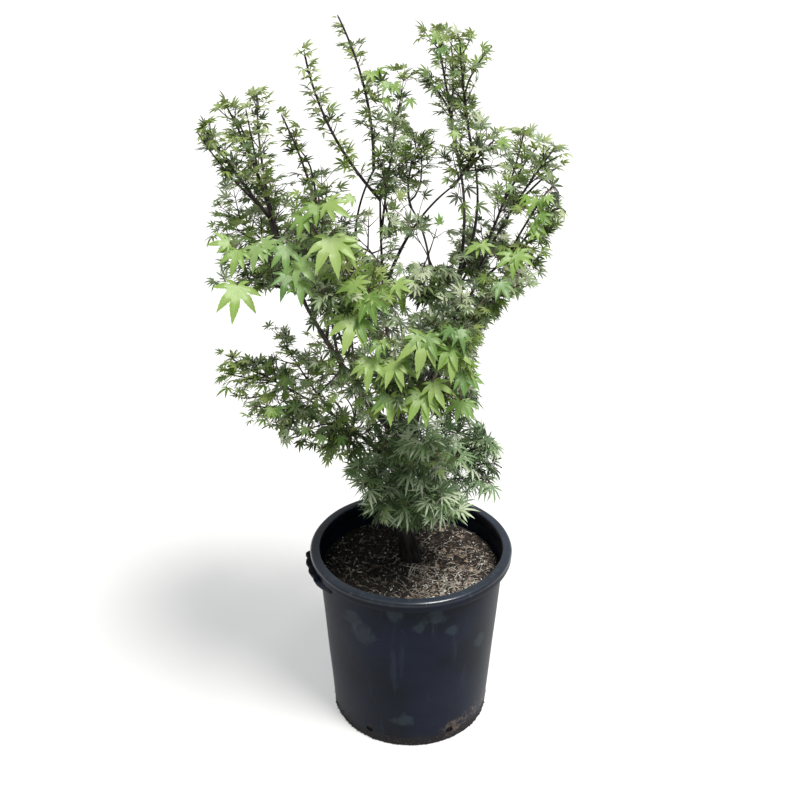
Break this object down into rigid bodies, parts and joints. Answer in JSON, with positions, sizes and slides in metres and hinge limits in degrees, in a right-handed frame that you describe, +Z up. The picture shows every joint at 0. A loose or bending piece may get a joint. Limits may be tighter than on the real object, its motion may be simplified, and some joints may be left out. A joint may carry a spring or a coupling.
{
  "type": "potted japanese maple",
  "caption": "Young garden maple with a short trunk, rising boughs and an open crown of hand-shaped leaves, standing in a round plastic nursery pot filled with potting mix.",
  "frame": {"origin": "centre of the pot's flat underside", "axes": "+Z up along the pot's axis, -Y towards the side seen in the picture, +X to that side's right"},
  "size_m": [0.7106, 0.646, 1.4668],
  "materials": {
    "pot": "satin moulded plastic, near-black navy, scuffed",
    "soil": "dark potting mix with straw and bark chips",
    "bark": "smooth dark grey-purple bark",
    "leaf_bright": "broad yellow-green leaf, soft sheen",
    "leaf_dark": "narrow-lobed dark green leaf, soft sheen"
  },
  "bodies": {
    "root": {"pot": "pot", "soil": "soil", "trunk": "bark", "right_bough": "bark", "left_bough": "bark", "leader": "bark", "back_bough": "bark", "back_left_bough": "bark", "lower_left_bough": "bark", "front_bough": "bark", "inner_left_bough": "bark", "diagonal_bough": "bark", "right_twin_bough": "bark", "far_right_bough": "bark", "back_right_bough": "bark", "front_left_bough": "bark", "far_left_shoots": "leaf_dark", "left_top_shoots": "leaf_dark", "left_inner_shoots": "leaf_dark", "left_spire": "leaf_dark", "left_dark_spray": "leaf_dark", "left_bright_spray": "leaf_bright", "left_back_spray": "leaf_dark", "upper_bright_spray": "leaf_bright", "left_middle_spray": "leaf_dark", "tall_spire": "leaf_dark", "centre_left_spire": "leaf_dark", "centre_top_spray": "leaf_dark", "centre_left_spray": "leaf_dark", "centre_right_spray": "leaf_dark", "right_spire": "leaf_dark", "right_twin_spire": "leaf_dark", "right_dark_spray": "leaf_dark", "far_right_spire": "leaf_dark", "far_right_outer_spray": "leaf_dark", "right_bright_spray": "leaf_bright", "right_low_bright_spray": "leaf_bright", "right_back_spray": "leaf_dark", "middle_dense_spray": "leaf_dark", "middle_front_spray": "leaf_dark", "middle_right_spray": "leaf_dark", "middle_bright_spray": "leaf_bright", "front_right_bright_spray": "leaf_bright", "front_left_bright_spray": "leaf_bright", "right_low_spray": "leaf_bright", "low_left_far_spray": "leaf_dark", "low_left_upper_spray": "leaf_dark", "low_left_near_spray": "leaf_dark", "low_left_under_spray": "leaf_dark", "foot_left_spray": "leaf_dark", "foot_right_spray": "leaf_dark", "foot_front_spray": "leaf_dark", "low_front_spray": "leaf_dark", "foot_back_spray": "leaf_dark", "back_left_spray": "leaf_dark", "back_middle_spray": "leaf_dark", "back_right_spray": "leaf_dark", "back_low_right_spray": "leaf_dark", "back_low_left_spray": "leaf_dark"}
  },
  "joints": []
}
